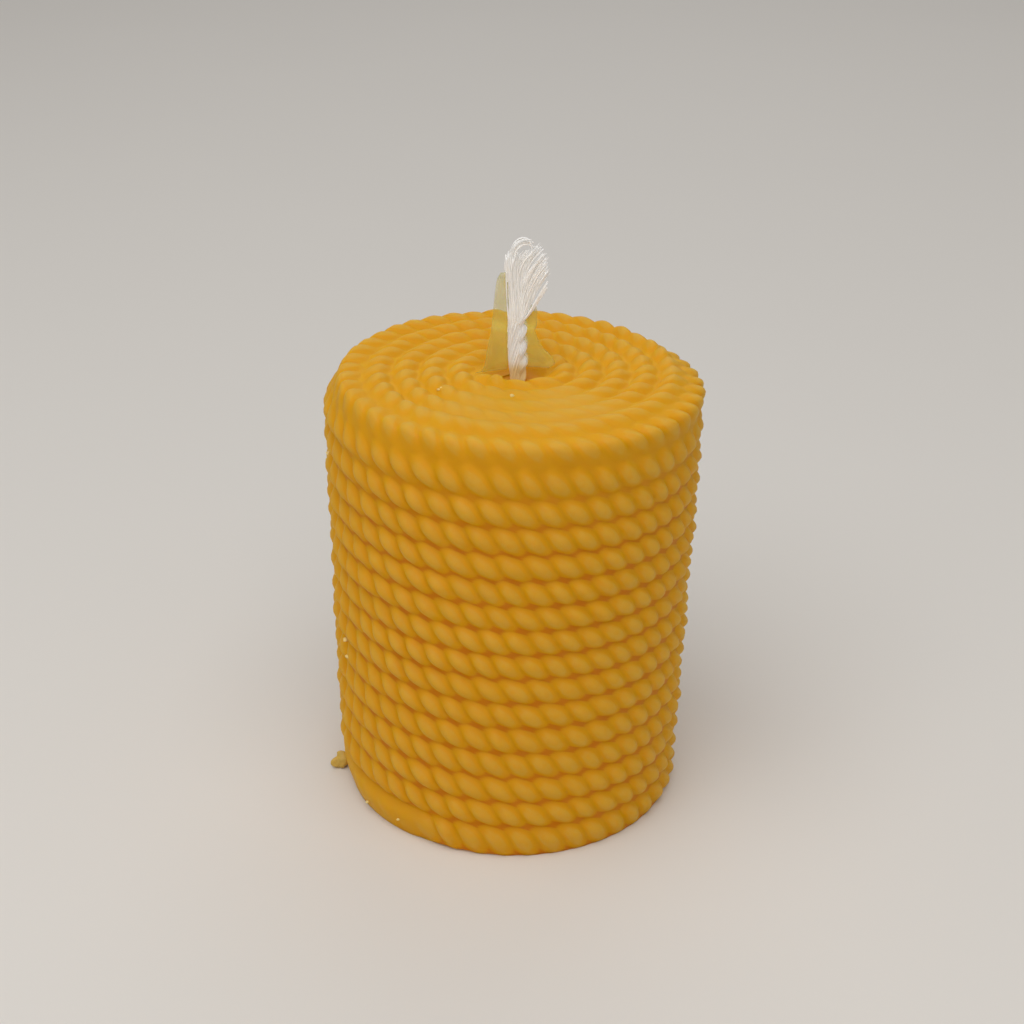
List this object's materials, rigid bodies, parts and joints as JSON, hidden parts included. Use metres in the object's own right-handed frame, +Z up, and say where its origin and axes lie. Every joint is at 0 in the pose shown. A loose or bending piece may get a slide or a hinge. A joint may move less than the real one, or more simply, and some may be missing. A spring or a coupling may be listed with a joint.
{
  "type": "beeswax pillar candle",
  "caption": "Short tapered beeswax pillar candle with the relief of a wound rope on its side and top, and a frayed plaited cotton wick between two thin films of mould flash.",
  "frame": {"origin": "middle of the flat base, on the axis of the wick", "axes": "+Z up along the wick, -Y towards the viewer of the picture, +X to the viewer's right"},
  "size_m": [0.0549, 0.0546, 0.0859],
  "materials": {
    "beeswax": "satin, slightly translucent cast beeswax, warm yellow",
    "wax_film": "thin translucent beeswax film, pale yellow",
    "cotton": "white plaited cotton, matt, frayed at its end"
  },
  "bodies": {
    "root": {"wax_core": "beeswax", "foot_ramp": "beeswax", "rope_winding": "beeswax", "flash_fin_left": "wax_film", "flash_fin_right": "wax_film", "wick_strand_a": "cotton", "wick_strand_b": "cotton", "wick_strand_c": "cotton", "frayed_threads": "cotton", "seam_burr": "beeswax"}
  },
  "joints": []
}
